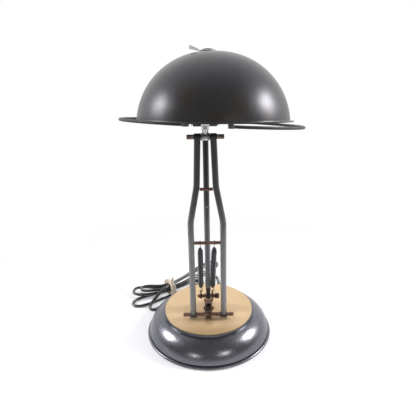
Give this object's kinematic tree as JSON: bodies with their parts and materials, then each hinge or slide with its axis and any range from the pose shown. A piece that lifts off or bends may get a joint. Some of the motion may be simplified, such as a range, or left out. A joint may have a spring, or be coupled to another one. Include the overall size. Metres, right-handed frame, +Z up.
{
  "type": "table lamp",
  "caption": "Spring-balanced table lamp: a weighted round base with a swivel, a parallelogram arm that keeps its head level, and a domed shade that tilts, with a grab ring and a switch lever.",
  "frame": {"origin": "middle of the felt's underside, on the table", "axes": "+Z up, -Y to the front, towards the side where the grab ring is open, +X to the right seen from the front"},
  "size_m": [0.3426, 0.445, 0.5878],
  "materials": {
    "gunmetal": "semi-gloss dark gunmetal, faint brown patina",
    "dark_paint": "satin near-black",
    "plate_brass": "satin, turned",
    "felt": "matt",
    "iron": "rough cast",
    "steel": "plain",
    "copper_brown": "browned, satin",
    "tube_grey": "satin grey",
    "neck_chrome": "polished",
    "spring_steel": "blackened",
    "lever_grey": "satin",
    "bakelite": "matt black",
    "bulb_white": "opal",
    "bulb_metal": "bright",
    "cord_black": "matt",
    "plug_black": "satin",
    "prong_brass": "bright",
    "twine": "natural twine"
  },
  "bodies": {
    "base": {"base_shell": "gunmetal", "base_plate": "plate_brass", "felt_pad": "felt", "base_weight": "iron", "swivel_stud": "steel", "base_spacer": "steel", "swivel_washer": "steel", "thrust_washer": "steel", "swivel_nut": "steel", "cord_gland": "bakelite", "cord_lead": "cord_black", "cord_hank": "cord_black", "hank_tie": "twine", "plug_body": "plug_black", "plug_prongs": "prong_brass"},
    "bracket": {"swivel_bracket": "copper_brown", "cheek_bolt": "steel", "cheek_nut": "steel", "short_bar": "copper_brown", "bar_nuts": "steel", "spring_eye_left": "dark_paint", "spring_eye_right": "dark_paint", "spring_left": "spring_steel", "spring_right": "spring_steel"},
    "arm": {"arm_tube_left": "tube_grey", "arm_tube_right": "tube_grey", "foot_collar_left": "dark_paint", "foot_collar_right": "dark_paint", "top_collar_left": "dark_paint", "top_collar_right": "dark_paint", "long_rod": "copper_brown", "top_rod": "copper_brown", "spring_rod": "copper_brown", "spacer_rod": "copper_brown", "neck_washers": "steel"},
    "link": {"link_tube": "tube_grey", "link_lower_end": "dark_paint", "link_upper_end": "dark_paint", "link_screw": "steel"},
    "head": {"neck": "neck_chrome", "link_pin": "steel", "tilt_bolt": "steel", "tilt_nut": "steel"},
    "shade": {"shade": "gunmetal", "lampholder": "bakelite", "shade_nut": "steel", "bulb_cap": "bulb_metal", "bulb_glass": "bulb_white", "tilt_yoke": "dark_paint", "grab_ring": "dark_paint", "ring_clips": "dark_paint"},
    "lever": {"switch_lever": "lever_grey", "shade_cap": "dark_paint", "switch_spindle": "steel"}
  },
  "joints": [
    {"name": "base_swivel", "type": "hinge", "parent": "base", "child": "bracket", "pos_m": [0, 0, 0.0585], "axis": [0, 0, 1], "range_deg": [-170, 170]},
    {"name": "arm_tilt", "type": "hinge", "parent": "bracket", "child": "arm", "pos_m": [0, -0.0367, 0.0665], "axis": [1, 0, 0], "range_deg": [-20, 40], "deforming": ["spring_left", "spring_right"]},
    {"name": "link_tilt", "type": "hinge", "parent": "bracket", "child": "link", "pos_m": [0, 0.002, 0.084], "axis": [1, 0, 0], "range_deg": [-20, 40]},
    {"name": "head_level", "type": "hinge", "parent": "arm", "child": "head", "pos_m": [0, -0.0367, 0.4381], "axis": [1, 0, 0], "range_deg": [-40, 20]},
    {"name": "shade_tilt", "type": "hinge", "parent": "head", "child": "shade", "pos_m": [0, -0.0367, 0.4645], "axis": [1, 0, 0], "range_deg": [-20, 40]},
    {"name": "switch_turn", "type": "hinge", "parent": "shade", "child": "lever", "pos_m": [0.0048, -0.0367, 0.46718], "axis": [0.0185, 0.2689, 0.963], "range_deg": [0, 90]}
  ],
  "couplings": [
    {"joint": "link_tilt", "follows": "arm_tilt", "ratio": 1},
    {"joint": "head_level", "follows": "arm_tilt", "ratio": -1}
  ]
}
